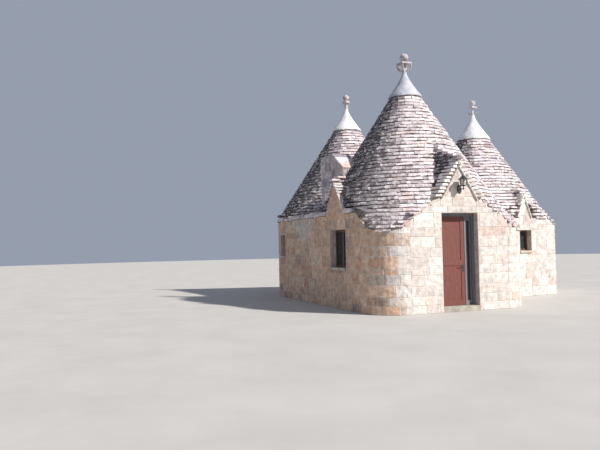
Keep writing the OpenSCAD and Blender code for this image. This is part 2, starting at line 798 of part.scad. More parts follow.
// Six-sided lantern over the door, on a swan-neck bracket
body_low = plate_z + 65;
body_h = 150;
hood_h = 110;
module hexagon(d) circle(d = d, $fn = 6);
module bracket() translate([0, -main_half_d, plate_z]) {
    rotate([90, 0, 0]) linear_extrude(14) scale([0.62, 1]) circle(d = 210);
    rotate([90, 0, 0]) cylinder(h = lantern_out, r = 11);
    translate([0, -lantern_out, 0]) {
        sphere(r = 18);
        cylinder(h = body_low - plate_z, r = 11);
        translate([0, 0, -40]) cylinder(h = 40, r1 = 3, r2 = 11);
    }
}
module body() translate([0, -main_half_d - lantern_out, body_low]) {
    cylinder(h = 12, d = 0.6 * hood_w);
    for (a = [0:60:300]) rotate([0, 0, a])
        translate([0.3 * hood_w - 6, -4, 12]) rotate([0, 9, 0]) cube([8, 8, body_h - 10]);
    translate([0, 0, body_h]) {
        cylinder(h = 12, d = hood_w);
        translate([0, 0, 12]) cylinder(h = hood_h - 50, d1 = 0.92 * hood_w, d2 = 0.35 * hood_w);
        translate([0, 0, hood_h - 38]) cylinder(h = 24, d1 = 0.3 * hood_w, d2 = 0.2 * hood_w);
        translate([0, 0, hood_h - 6]) sphere(r = 14);
    }
}
module wall_lantern() color(dark_metal) {
    bracket();
    body();
}
module lantern_glass() color([0.85, 0.85, 0.80]) translate([0, -main_half_d - lantern_out, body_low + 12])
    cylinder(h = body_h - 12, d1 = 0.5 * hood_w, d2 = 0.7 * hood_w);

room_floors();
door_threshold();
door_lintel();
window_sills();
front_wall_left();
front_wall_right();
front_gable();
left_window_parapet();
left_gable();
left_wall_rear();
inner_pier();
passage_arches();
left_room_side_wall();
left_room_back_wall();
left_room_inner_wall();
right_room_front_wall();
right_gable();
right_room_side_wall();
right_room_inner_wall();
main_dome();
left_dome();
right_dome();
main_roof_slabs();
left_roof_slabs();
right_roof_slabs();
main_cap();
left_cap();
right_cap();
main_pinnacle();
left_pinnacle();
right_pinnacle();
pinnacle_balls();
front_gable_slabs();
left_gable_slabs();
right_gable_slabs();
chimney();
door_frame();
wide_leaf();
door_handle();
narrow_leaf();
narrow_leaf_glass();
window_frames();
window_glass();
wall_lantern();
lantern_glass();
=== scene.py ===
# %% [markdown]
# # Trullo house: the looks
# A trullo is a dry-stone house whose round rooms carry cones of limestone slabs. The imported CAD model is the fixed
# frame: walls, domes, roofs, doors and windows at their true sizes. This script adds what the CAD leaves out:
# every roof slab, every wall stone, the uneven plaster, the timber and the iron.
# All lengths are metres, +Z is up and the front faces -Y.

# %% Load the frame
import math
import random

import bpy
import numpy as np
from mathutils import Matrix, Vector, noise


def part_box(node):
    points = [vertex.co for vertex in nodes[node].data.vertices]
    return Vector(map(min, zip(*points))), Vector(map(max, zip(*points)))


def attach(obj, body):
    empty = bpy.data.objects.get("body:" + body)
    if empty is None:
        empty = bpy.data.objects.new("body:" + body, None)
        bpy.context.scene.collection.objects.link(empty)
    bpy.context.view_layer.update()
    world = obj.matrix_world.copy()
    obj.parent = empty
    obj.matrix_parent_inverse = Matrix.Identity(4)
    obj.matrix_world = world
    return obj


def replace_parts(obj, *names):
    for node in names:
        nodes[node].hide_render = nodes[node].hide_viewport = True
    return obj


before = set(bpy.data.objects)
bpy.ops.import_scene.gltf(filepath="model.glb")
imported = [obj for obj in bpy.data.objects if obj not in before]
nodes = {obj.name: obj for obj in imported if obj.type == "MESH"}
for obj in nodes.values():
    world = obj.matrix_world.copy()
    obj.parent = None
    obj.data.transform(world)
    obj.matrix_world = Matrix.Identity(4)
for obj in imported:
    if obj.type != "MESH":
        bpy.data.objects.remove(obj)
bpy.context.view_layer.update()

# %% [markdown]
# The camera stands where the photograph was taken, at eye height in front of the left corner. Its turn, tilt and
# lens were fitted to the corners of the door, windows and caps, so the matrix is written out from three angles
# instead of being aimed by eye. Roll and pitch are small.

# %% Camera
CAMERA_PLACE = (-8.57, -13.92, 1.60)
LENS_MM, SENSOR_MM = 36.25, 36
heading, pitch, roll = (math.radians(a) for a in (21.46, 1.93, 1.15))
forward = Vector((math.sin(heading) * math.cos(pitch), math.cos(heading) * math.cos(pitch), math.sin(pitch)))
level_right = Vector((math.cos(heading), -math.sin(heading), 0))
level_up = level_right.cross(forward)
cam_right = math.cos(roll) * level_right - math.sin(roll) * level_up
cam_up = math.sin(roll) * level_right + math.cos(roll) * level_up
bpy.ops.object.select_all(action="DESELECT")
bpy.ops.object.camera_add()
camera = bpy.context.object
camera.matrix_world = Matrix((
    (cam_right.x, cam_up.x, -forward.x, CAMERA_PLACE[0]),
    (cam_right.y, cam_up.y, -forward.y, CAMERA_PLACE[1]),
    (cam_right.z, cam_up.z, -forward.z, CAMERA_PLACE[2]),
    (0, 0, 0, 1)))
camera.data.lens = LENS_MM
camera.data.sensor_width = SENSOR_MM
bpy.context.scene.camera = camera
print("Camera:", camera.name, "at", CAMERA_PLACE)

# %% [markdown]
# The next cells hold shared shader helpers. A material starts as the principled shader, and its colour variation,
# roughness and bump come from noise on Object coordinates. That way a stone keeps its look however its piece is
# moved, and no picture is needed.


# %% A blank material
def shader(name, roughness=0.85):
    made = bpy.data.materials.new(name)
    made.use_nodes = True
    tree = made.node_tree
    surface = tree.nodes["Principled BSDF"]
    surface.inputs["Roughness"].default_value = roughness
    surface.inputs["Metallic"].default_value = 0.0
    coords = tree.nodes.new("ShaderNodeTexCoord")
    return made, tree, surface, coords.outputs["Object"]


# %% [markdown]
# Noise makes clouds, a ramp turns them into colours or masks, and a mix lays one colour over another. Stretching
# the coordinates first turns round clouds into the grain of a board or the runs of rain on plaster.


# %% Noise, ramps and mixes
def noise_node(tree, coords, scale, detail=4.0, rough=0.6, stretched=None):
    if stretched is not None:
        mapping = tree.nodes.new("ShaderNodeMapping")
        mapping.inputs["Scale"].default_value = stretched
        tree.links.new(coords, mapping.inputs["Vector"])
        coords = mapping.outputs["Vector"]
    made = tree.nodes.new("ShaderNodeTexNoise")
    made.inputs["Scale"].default_value = scale
    made.inputs["Detail"].default_value = detail
    made.inputs["Roughness"].default_value = rough
    tree.links.new(coords, made.inputs["Vector"])
    return made.outputs["Fac"]


def ramp(tree, factor, stops):
    made = tree.nodes.new("ShaderNodeValToRGB")
    for k, (place, colour) in enumerate(stops):
        stop = made.color_ramp.elements[k] if k < 2 else made.color_ramp.elements.new(place)
        stop.position = place
        stop.color = (*colour, 1)
    tree.links.new(factor, made.inputs["Fac"])
    return made.outputs["Color"]


def mix(tree, a, b, factor, how="MIX"):
    made = tree.nodes.new("ShaderNodeMix")
    made.data_type = "RGBA"
    made.blend_type = how
    for socket, value in ((made.inputs["Factor"], factor), (made.inputs["A"], a), (made.inputs["B"], b)):
        if isinstance(value, (tuple, list)):
            socket.default_value = (*value, 1)
        elif isinstance(value, float):
            socket.default_value = value
        else:
            tree.links.new(value, socket)
    return made.outputs["Result"]


# %% [markdown]
# Bump only bends the light, so it is kept for pits and humps of a few millimetres. Several bumps are chained, each
# one feeding its normal into the next.


# %% Bump
def bump(tree, surface, height, strength, distance):
    made = tree.nodes.new("ShaderNodeBump")
    made.inputs["Strength"].default_value = strength
    made.inputs["Distance"].default_value = distance
    tree.links.new(height, made.inputs["Height"])
    old = surface.inputs["Normal"].links
    if old:
        tree.links.new(old[0].from_socket, made.inputs["Normal"])
    tree.links.new(made.outputs["Normal"], surface.inputs["Normal"])


# %% [markdown]
# Limestone weathers in layers: a cloudy tone within each stone, dark stains of lichen that cross the joints, a pale
# lime bloom, and pits. Laid stones also carry a colour each, in the mesh attribute "tint", so that neighbours
# differ as real ones do.

# %% Limestone
STAINS, BLOOMS, PITS, HUMPS = 2.6, 7.0, 60.0, 13.0  # noise scales: the larger, the finer


def stone_shader(name, base, stain, pale, grain=11.0, bumps=0.6, stain_share=0.55, bedded=1.0, bloomed=0.4):
    """base is a colour or "tint"; bedded flattens the bloom into beds, bloomed is its strength."""
    made, tree, surface, coords = shader(name, 0.9)
    if base == "tint":
        attribute = tree.nodes.new("ShaderNodeAttribute")
        attribute.attribute_name = "tint"
        base = attribute.outputs["Color"]
    cloud = ramp(tree, noise_node(tree, coords, grain), [(0.3, (0.62,) * 3), (0.7, (1.12,) * 3)])
    colour = mix(tree, base, cloud, 1.0, "MULTIPLY")
    patches = ramp(tree, noise_node(tree, coords, STAINS, 6.0, 0.7), [(stain_share, (0, 0, 0)), (0.75, (0.6,) * 3)])
    colour = mix(tree, colour, stain, patches)
    bloom = ramp(tree, noise_node(tree, coords, BLOOMS, 6.0, 0.75, (1, 1, bedded)),
                 [(0.50, (0, 0, 0)), (0.62, (bloomed,) * 3)])
    colour = mix(tree, colour, pale, bloom)
    tree.links.new(colour, surface.inputs["Base Color"])
    bump(tree, surface, noise_node(tree, coords, PITS, 6.0, 0.7), bumps, 0.006)
    bump(tree, surface, noise_node(tree, coords, HUMPS, 3.0), bumps, 0.02)
    return made


roof_stone = stone_shader("roof_stone", "tint", (0.12, 0.10, 0.12), (0.90, 0.86, 0.87), grain=14.0, bumps=0.8,
                          bedded=2.2, bloomed=0.8)
facing_stone = stone_shader("facing_stone", "tint", (0.30, 0.22, 0.18), (0.80, 0.73, 0.67), grain=8.0, bumps=0.55,
                            stain_share=0.62, bloomed=0.3)
mortar = stone_shader("mortar", (0.62, 0.53, 0.46), (0.28, 0.22, 0.18), (0.74, 0.68, 0.62), grain=6.0, bumps=0.7)
# The domes show only in the gaps between slabs; their near-black stone is painted shade in those gaps.
gap_shade_stone = stone_shader("gap_shade_stone", (0.16, 0.13, 0.12), (0.06, 0.05, 0.05), (0.26, 0.23, 0.21))
floor_flags = stone_shader("floor_flags", (0.42, 0.38, 0.33), (0.20, 0.17, 0.15), (0.6, 0.56, 0.5), grain=4.0)
print("Limestones:", len(bpy.data.materials))

# %% [markdown]
# The caps are lime plaster, whitewashed on the side cones and left to grey on the main one. Rain draws long dark
# runs down it, so the noise for the runs is stretched upright.


# %% Plaster
def plaster_shader(name, base, shade):
    made, tree, surface, coords = shader(name, 0.82)
    wash = ramp(tree, noise_node(tree, coords, 3.2, 7.0, 0.65), [(0.38, shade), (0.62, base)])
    runs = ramp(tree, noise_node(tree, coords, 9.0, 5.0, 0.7, (1, 1, 0.22)), [(0.5, (0, 0, 0)), (0.8, (0.5,) * 3)])
    colour = mix(tree, wash, (0.40, 0.40, 0.42), runs)
    tree.links.new(colour, surface.inputs["Base Color"])
    bump(tree, surface, noise_node(tree, coords, 45.0, 5.0, 0.6), 0.35, 0.004)
    bump(tree, surface, noise_node(tree, coords, 7.0, 3.0), 0.5, 0.02)
    return made


plaster = plaster_shader("plaster", (0.86, 0.85, 0.83), (0.62, 0.63, 0.66))
grey_plaster = plaster_shader("grey_plaster", (0.50, 0.51, 0.58), (0.34, 0.35, 0.42))
weathered = plaster_shader("weathered", (0.66, 0.64, 0.66), (0.27, 0.20, 0.20))
print("Plasters made")

# %% [markdown]
# Painted timber and iron share one recipe: a stretched noise as brush marks and grain, which also drives the
# roughness, and worn patches over it.


# %% Paint
def paint_shader(name, light, dark, roughness=0.5):
    made, tree, surface, coords = shader(name, roughness)
    grain = noise_node(tree, coords, 16.0, 6.0, 0.65, (4.0, 4.0, 0.35))
    colour = ramp(tree, grain, [(0.32, dark), (0.68, light)])
    worn = ramp(tree, noise_node(tree, coords, 5.0, 6.0, 0.7), [(0.6, (0, 0, 0)), (0.8, (0.5,) * 3)])
    colour = mix(tree, colour, tuple(0.55 * c for c in dark), worn)
    tree.links.new(colour, surface.inputs["Base Color"])
    rough = ramp(tree, grain, [(0.3, (roughness + 0.15,) * 3), (0.7, (roughness - 0.1,) * 3)])
    tree.links.new(rough, surface.inputs["Roughness"])
    bump(tree, surface, grain, 0.3, 0.003)
    return made


door_timber = paint_shader("door_timber", (0.215, 0.068, 0.052), (0.12, 0.036, 0.030))
window_timber = paint_shader("window_timber", (0.16, 0.09, 0.06), (0.07, 0.04, 0.03))
grey_paint = paint_shader("grey_paint", (0.22, 0.22, 0.24), (0.11, 0.11, 0.13))
iron = paint_shader("iron", (0.030, 0.050, 0.046), (0.012, 0.018, 0.017), 0.42)
print("Paints made")

# %% [markdown]
# The panes look dark because the rooms behind are dark, so they are near-black and smooth, with a thin film of
# dust. The lantern's panes are frosted.


# %% Glass
def glass_shader(name, base, roughness):
    made, tree, surface, coords = shader(name, roughness)
    dusty = tuple(1.8 * c for c in base)
    film = ramp(tree, noise_node(tree, coords, 6.0, 5.0, 0.7), [(0.35, base), (0.7, dusty)])
    tree.links.new(film, surface.inputs["Base Color"])
    bump(tree, surface, noise_node(tree, coords, 4.0, 2.0), 0.12, 0.004)
    return made


dark_glass = glass_shader("dark_glass", (0.018, 0.022, 0.026), 0.12)
frosted = glass_shader("frosted", (0.42, 0.38, 0.36), 0.35)
print("Materials:", len(bpy.data.materials))

# %% [markdown]
# The stones' sizes and places follow the CAD. Each cone is measured from the box of its plaster cap, so that the
# slabs lie on the same slope.

# %% Sizes of walls and cones
RISE = math.tan(math.radians(56.8))  # slope of the cones
COURSE = 0.095  # height of a course of roof slabs
EAVE = 0.05  # how far the lowest slabs reach past the wall face
WALL_H = 2.35  # top of the level left wall
HEAD = 0.14  # thickness of the slabs on it
RIGHT_HEAD = 2.26  # top of the right room's flat front
CLIMB = math.tan(math.radians(23))  # a gable's ridge climbs inwards
VERGE = 0.07  # how far a gable's slabs reach past its face


def cone_from(cap):
    low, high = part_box(cap)
    foot_r = (high.x - low.x) / 2
    return {"x": (low.x + high.x) / 2, "y": (low.y + high.y) / 2, "top": low.z,
            "apex": low.z + foot_r * RISE - COURSE / 2}


cones = {name: cone_from(name + "_cap") for name in ("main", "left", "right")}
print("Cones:", {n: round(c["apex"], 3) for n, c in cones.items()})


def cone_height(name, x, y):
    cone = cones[name]
    return cone["apex"] - RISE * math.hypot(x - cone["x"], y - cone["y"])


def roof_height(x, y):
    return max(cone_height(name, x, y) for name in cones)


# %% [markdown]
# The plan is repeated as a distance: zero on the wall face, positive outside. The main room is a box with two round
# front corners, the left room a circle with a straight strip to it, and the right room a circle with a flat front
# that is turned 7.5 degrees. With one number for "how far outside am I", the eaves of all three need one rule.

# %% The plan's outline
HALF_W, HALF_D, CORNER = 2.15, 2.25, 0.8
STRAIGHT = HALF_W - CORNER
LEFT_R = cones["left"]["x"] + HALF_W
RIGHT_R, RIGHT_D = 2.30, 1.94
RIGHT_HALF = math.sqrt(RIGHT_R ** 2 - RIGHT_D ** 2)
RIGHT_AXIS = Vector((cones["right"]["x"], cones["right"]["y"]))
TURN = math.radians(7.5)
RIGHT_OUT = Vector((math.sin(TURN), -math.cos(TURN)))
RIGHT_WAY = Vector((math.cos(TURN), math.sin(TURN)))


def outline(x, y):
    corner = (abs(x) - HALF_W + CORNER, CORNER - HALF_D - y)
    rounded = math.hypot(max(corner[0], 0), max(corner[1], 0)) + min(max(corner), 0) - CORNER
    main = max(rounded, y - HALF_D)
    strip = max(-HALF_W - x, x - cones["left"]["x"], -y, y - cones["left"]["y"])
    left = math.hypot(x - cones["left"]["x"], y - cones["left"]["y"]) - LEFT_R
    to = Vector((x, y)) - RIGHT_AXIS
    right = max(to.length - RIGHT_R, to.dot(RIGHT_OUT) - RIGHT_D)
    return min(main, strip, left, right)


def level_head(x, y):
    """Height of the level wall head at this place of the plan, or None where the wall follows the cone."""
    if x < -STRAIGHT:
        return WALL_H
    to = Vector((x, y)) - RIGHT_AXIS
    in_front = to.dot(RIGHT_OUT) > RIGHT_D - 0.3 and abs(to.dot(RIGHT_WAY)) < RIGHT_HALF - 0.2
    return RIGHT_HEAD if in_front else None


print("Outline at the door:", round(outline(0, -HALF_D), 4))

# %% [markdown]
# A gable is a small triangle of wall with a saddle roof that runs back into the cone. Its place is given by a
# distance a along the face and b inwards. The chimney is a box with a sloping shoulder. Both push cone slabs aside.


# %% Gables and chimney
def gable(owner, distance, out, half, spread, over, lift, foot, left_verge):
    """half: half the wall's width; over: its top over the cone; lift: of the ridge over that top."""
    top = cones[owner]["apex"] - RISE * distance + over
    face = Vector((cones[owner]["x"], cones[owner]["y"])) + out * distance
    return {"owner": owner, "face": face, "in": -out, "way": Vector((-out.y, out.x)), "half": half, "top": top,
            "foot": foot, "ridge": top + lift, "left_verge": left_verge, "steep": (top - foot) / half,
            "outer": (top + lift - foot) / (half + spread)}


gables = {
    "front": gable("main", HALF_D, Vector((0, -1)), 0.50, 0.27, 0.66, 0.215, 2.55, 0.015),
    "left": gable("main", HALF_W, Vector((-1, 0)), 0.52, 0.075, 0.30, 0.095, WALL_H + HEAD, VERGE),
    "right": gable("right", RIGHT_D, RIGHT_OUT, 0.225, 0.27, 0.15, 0.225, RIGHT_HEAD, 0.015),
}
CHIMNEY = {"x0": -1.90, "x1": -1.42, "y0": 0.60, "y1": 1.35, "z": 3.96, "slope": math.tan(math.radians(34))}


def in_gable(g, x, y):
    to = Vector((x, y)) - g["face"]
    return to.dot(g["way"]), to.dot(g["in"])


def under_gable(x, y, z):
    """True where a gable's slabs cover the roof."""
    for g in gables.values():
        a, b = in_gable(g, x, y)
        if -0.2 < b < 1.4 and 0.03 < g["ridge"] + b * CLIMB - g["outer"] * abs(a) - z:
            if z > g["foot"] + b * CLIMB - 0.02 or abs(a) < g["half"]:
                return True
    return False


def stack_height(y):
    return CHIMNEY["z"] - max(0.0, CHIMNEY["y0"] - y) * CHIMNEY["slope"]


def in_chimney(x, y, z):
    return CHIMNEY["x0"] < x < CHIMNEY["x1"] and -0.03 < y < CHIMNEY["y1"] + 0.02 and z < stack_height(y)


print("Gable tops:", {n: round(g["top"], 3) for n, g in gables.items()})

# %% [markdown]
# Stones are cut from a few chiselled blocks: a bevelled cube whose corners are knocked about at random. It is
# modelled once for each pattern and thrown away, and only its points are kept. Each stone stretches them to its
# own size while the chamfers keep their width.


# %% Block patterns
def chiselled(seed, cuts=0, knocks=0.05):
    bpy.ops.object.select_all(action="DESELECT")
    bpy.ops.mesh.primitive_cube_add(size=2)
    block = bpy.context.object
    bpy.ops.object.mode_set(mode="EDIT")
    bpy.ops.mesh.select_all(action="SELECT")
    bpy.ops.mesh.bevel(offset=0.1, segments=1)
    bpy.ops.mesh.select_all(action="SELECT")
    if cuts:
        bpy.ops.mesh.subdivide(number_cuts=cuts)
    bpy.ops.transform.vertex_random(offset=knocks, seed=seed)
    bpy.ops.object.mode_set(mode="OBJECT")
    points = np.array([v.co for v in block.data.vertices])
    faces = [tuple(p.vertices) for p in block.data.polygons]
    bpy.data.objects.remove(block, do_unlink=True)
    return points, faces


slab_patterns = [chiselled(seed) for seed in range(8)]
block_patterns = [chiselled(20 + seed, 1, 0.03) for seed in range(6)]
print("Patterns:", len(slab_patterns), "slabs,", len(block_patterns), "blocks")


def stretch(values, half, rim):
    """-1..1 to -half..half, with the outer tenth rim wide."""
    size = np.abs(values)
    core = np.minimum(size, 0.9) / 0.9 * (half - rim)
    return np.sign(values) * (core + (size - np.minimum(size, 0.9)) / 0.1 * rim)


# %% [markdown]
# All stones of a part form one mesh. Thousands of loose objects would be slow, and the mesh still holds each stone
# as its own closed shell with its own tint. Many stones are mirrored patterns, which turns their faces inwards, so
# the normals are recalculated at the end.


# %% Masonry
def turn_outwards(piece):
    bpy.ops.object.select_all(action="DESELECT")
    bpy.context.view_layer.objects.active = piece
    piece.select_set(True)
    bpy.ops.object.mode_set(mode="EDIT")
    bpy.ops.mesh.select_all(action="SELECT")
    bpy.ops.mesh.normals_make_consistent(inside=False)
    bpy.ops.object.mode_set(mode="OBJECT")


def masonry(name, stones, material):
    """One mesh from stones, each (points, faces, colour)."""
    points, faces, tints, base = [], [], [], 0
    for stone_points, stone_faces, tint in stones:
        points.append(stone_points)
        faces.extend(tuple(base + i for i in face) for face in stone_faces)
        tints.append(np.tile((*tint, 1.0), (len(stone_points), 1)))
        base += len(stone_points)
    mesh = bpy.data.meshes.new(name)
    mesh.from_pydata(np.concatenate(points).tolist(), [], faces)
    attribute = mesh.attributes.new("tint", "FLOAT_COLOR", "POINT")
    attribute.data.foreach_set("color", np.concatenate(tints).astype(np.float32).ravel())
    mesh.materials.append(material)
    mesh.validate()
    piece = bpy.data.objects.new(name, mesh)
    bpy.context.scene.collection.objects.link(piece)
    turn_outwards(piece)
    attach(piece, "house")
    print(name, len(stones), "stones,", sum(len(p.vertices) - 2 for p in mesh.polygons), "triangles")
    return piece


def pick(rng, palette, spread=0.12):
    """A colour from a palette of (weight, colour), a little lighter or darker."""
    total = rng.random() * sum(weight for weight, colour in palette)
    for weight, colour in palette:
        total -= weight
        if total <= 0:
            break
    shade = 1 + rng.uniform(-spread, spread)
    return tuple(min(1.0, c * shade) for c in colour)


# %% [markdown]
# A roof slab is split from the bed and only roughly squared. Its edge that shows is cut to the slope of the cone,
# so the upper rim stands back from the lower one, and on a cone the slab bends with the course.

# %% One roof slab
BATTER = 0.45  # how far the showing edge leans back for its height


def slab(rng, centre, along, out, size, tint, tilt=0.0, bend=None):
    """along and out: ways in plan of its length and its showing edge; size: (length, depth, thickness)."""
    pattern, faces = rng.choice(slab_patterns)
    length, depth, thick = size
    u = stretch(pattern[:, 0], length / 2, 0.006) * rng.choice((-1, 1))
    v = stretch(pattern[:, 1], depth / 2, 0.009)
    w = stretch(pattern[:, 2], thick / 2, 0.008)
    v = v * (1 + rng.uniform(-0.08, 0.08) * u / length)
    w = w * (1 + rng.uniform(-0.35, 0.35) * u / length) + u * rng.uniform(-0.05, 0.05) - v * tilt
    v = v - np.where(pattern[:, 1] > 0, (w + thick / 2) * BATTER, 0)
    if bend:
        v = v - u ** 2 / (2 * bend)
    points = (np.array(centre) + np.outer(u, (*along, 0)) + np.outer(v, (*out, 0)) + np.outer(w, (0, 0, 1)))
    return points, faces, tint


ROOF = [
    (4, (0.60, 0.52, 0.545)), (4, (0.70, 0.62, 0.645)), (2, (0.48, 0.40, 0.425)), (2, (0.80, 0.73, 0.75)),
    (2, (0.37, 0.30, 0.315)), (1, (0.64, 0.52, 0.50))]
VERGES = [(3, (0.78, 0.72, 0.68)), (2, (0.70, 0.62, 0.57)), (1, (0.84, 0.80, 0.78))]


def painted_light_by_facing(tint, out):
    """Painted shade and light by facing: slabs that face far to the left are darkened as painted shade, and those
    that face front left are the palest, as painted light.
    """
    shade = max(0.14, 0.82 + 1.3 * min(0.3, max(0.0, 0.1 - out.x)) - 2.4 * max(0.0, -out.x - 0.55))
    return tuple(min(0.92, c * shade) for c in tint)


print("Roof colours:", len(ROOF), "and verge colours:", len(VERGES))

# %% [markdown]
# At the edge of a roof the courses leave the circle and follow the wall. Each slab there is held back to the eave,
# 50 mm in front of the face, and turned to the wall. Over a level wall head the courses stand one on the other
# until they reach the cone.

# %% Slabs at the eave
TOUCH = 0.012  # past this a slab's edge is in front of the wall face
SLOPED_EAVE = 0.035  # reach where the wall head follows the cone
LEFT_LEAN = 0.42  # how far the stacked courses over the left wall step back for their height
SHORTEST = 0.12


def at(cone, angle, radius):
    return cone["x"] + radius * math.cos(angle), cone["y"] + radius * math.sin(angle)


def eave_frame(x, y):
    """Outward way of the outline near a point."""
    step = 0.01
    grad = Vector((outline(x + step, y) - outline(x - step, y), outline(x, y + step) - outline(x, y - step)))
    return grad.normalized()


def pull_in(cone, angle, radius, reach):
    """Largest radius on this ray that stays within reach of the wall face."""
    low, high = 0.0, radius
    for _ in range(18):
        mid = (low + high) / 2
        inside = outline(*at(cone, angle, mid)) <= reach
        low, high = (mid, high) if inside else (low, mid)
    return low


def at_eave(name, angle, out, radius, z, length):
    """Place, outward way and length of a slab at the roof's edge, or None where the wall stands."""
    cone = cones[name]
    x, y = cone["x"] + radius * out.x, cone["y"] + radius * out.y
    past = outline(x, y) > TOUCH
    lean_in = max(0.0, z - WALL_H - HEAD) * LEFT_LEAN if x < -STRAIGHT and name == "main" else 0.0
    held = pull_in(cone, angle, radius + 0.2, (EAVE if past else SLOPED_EAVE) - lean_in)
    x, y = cone["x"] + held * out.x, cone["y"] + held * out.y
    head = level_head(x, y)
    if past and (head is None or z < head + (HEAD if head == WALL_H else COURSE / 2 - 0.02)):
        return None
    out = eave_frame(x, y)
    length *= 1.1
    ends = [outline(x - side * out.y * length / 2, y + side * out.x * length / 2) for side in (-1, 1)]
    if max(ends) > outline(x, y) + 0.02:
        length = SHORTEST
    return x, y, out, length, past


print("Eave reach:", EAVE, "over a level head,", SLOPED_EAVE, "over a sloping one")

# %% [markdown]
# Roof slabs run in level courses 95 mm high. Each is 0.12 to 0.4 m long and tips a little outwards, so rain drips
# off. They are laid one by one round the cone with seeded random lengths, and left out where another cone, a gable
# or the chimney covers the place.

# %% Courses of roof slabs
SLAB_LENGTHS = (SHORTEST, 0.16, 0.20, 0.26, 0.36)
LOWEST = 1.55  # no roof edge comes lower


def covered(name, x, y, z, own):
    behind_left_wall = x < -STRAIGHT and y > -0.9 and z < WALL_H
    others = max(cone_height(o, x, y) for o in cones if o != name)
    return behind_left_wall or others - own > 0.09 or under_gable(x, y, z) or in_chimney(x, y, z - 0.03)


def cone_slabs(name, seed):
    rng = random.Random(seed)
    cone = cones[name]
    stones = []
    for k in range(int((cone["top"] - LOWEST) / COURSE) + 1):
        z = cone["top"] - (k + 0.5) * COURSE
        radius = (cone["apex"] - z) / RISE
        below = radius + COURSE / RISE
        lean = rng.uniform(-0.003, 0.003)
        angle = rng.uniform(0, math.tau)
        end = angle + math.tau
        while angle < end:
            length = min(rng.choice(SLAB_LENGTHS) * rng.uniform(0.85, 1.15), 0.42 * radius)
            if outline(*at(cone, angle + 0.05, below)) > -0.03:
                length = min(length, 0.16)
            step = length / radius
            middle = angle + step / 2
            angle += step
            out = Vector((math.cos(middle), math.sin(middle)))
            x, y = cone["x"] + radius * out.x, cone["y"] + radius * out.y
            eave = outline(cone["x"] + below * out.x, cone["y"] + below * out.y) > TOUCH
            past = False
            if eave:
                place = at_eave(name, middle, out, radius, z, length)
                if place is None:
                    continue
                x, y, out, length, past = place
            if covered(name, x, y, z, z if eave else cone_height(name, x, y)):
                continue
            jut = rng.gauss(0, 0.004) + lean
            depth = rng.uniform(0.15, 0.20)
            thick = rng.uniform(0.062, 0.080)
            if eave:
                jut = min(jut, 0.004)
                thick = thick if past else rng.uniform(0.042, 0.055)
            centre = (x + out.x * (jut - depth / 2), y + out.y * (jut - depth / 2), z + rng.gauss(0, 0.004))
            twist = rng.gauss(0, 0.03)
            facing = Vector((out.x - out.y * twist, out.y + out.x * twist)).normalized()
            # The tint carries painted shade and light by the way the slab faces.
            tint = painted_light_by_facing(pick(rng, ROOF, 0.10), out)
            stones.append(slab(rng, centre, (-facing.y, facing.x), facing, (length, depth, thick), tint,
                               rng.uniform(0.02, 0.09), None if eave else radius))
    return stones


# %% [markdown]
# The level left wall is finished with thick slabs that stop at its gable, and thinner flat ones fill the gap
# between them and the cones. They are walked along the wall and on round the left room.


# %% Slabs on the left wall's head
def head_place(s, straight_run):
    """Plan place and outward way at a distance along the left wall's head."""
    left = cones["left"]
    if s < straight_run:
        return -HALF_W, s - STRAIGHT, Vector((-1, 0))
    angle = math.pi - (s - straight_run) / LEFT_R
    out = Vector((math.cos(angle), math.sin(angle)))
    return left["x"] + LEFT_R * out.x, left["y"] + LEFT_R * out.y, out


def head_slabs(seed):
    rng = random.Random(seed)
    stones = []
    half = gables["left"]["half"]
    round_run = (math.acos(STRAIGHT / LEFT_R) - 0.02) * LEFT_R
    s, straight_run = 0.0, cones["left"]["y"] + STRAIGHT
    while s < straight_run + round_run:
        length = rng.uniform(0.34, 0.58)
        x, y, out = head_place(s + length / 2, straight_run)
        s += length
        if abs(y) < half + length / 2:
            if abs(y) < half + 0.06:
                continue
            length = 2 * (abs(y) - half) + 0.02
        if y < -1.15:
            continue
        depth = 0.27 if half < y < CHIMNEY["y1"] + 0.1 else 0.42
        thick = HEAD - rng.uniform(0.012, 0.03)
        back = EAVE + rng.uniform(-0.012, 0.0) - depth / 2
        centre = (x + out.x * back, y + out.y * back, WALL_H + HEAD / 2 + rng.gauss(0, 0.003))
        stones.append(slab(rng, centre, (-out.y, out.x), out, (length * 0.985, depth, thick), pick(rng, ROOF),
                           rng.uniform(0, 0.02)))
    y = CHIMNEY["y1"]
    while y < cones["left"]["y"]:
        length = rng.uniform(0.32, 0.5)
        if roof_height(-1.6, y + length / 2) < WALL_H + 0.4:
            stones.append(slab(rng, (-1.60, y + length / 2, WALL_H + 0.085), (0, 1), (-1, 0),
                               (length * 0.985, 0.5, 0.10), pick(rng, ROOF)))
        y += length
    return stones


for name, seed in (("main", 11), ("left", 12), ("right", 13)):
    stones = cone_slabs(name, seed) + (head_slabs(14) if name == "left" else [])
    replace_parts(masonry(name + "_slab_courses", stones, roof_stone), name + "_roof_slabs")

# %% [markdown]
# A coping of flat stones closes the joint between a gable's wall and its slabs. From afar it is a thin pale band
# over a dark line. On the left of the right gable it is broad and whitewashed.


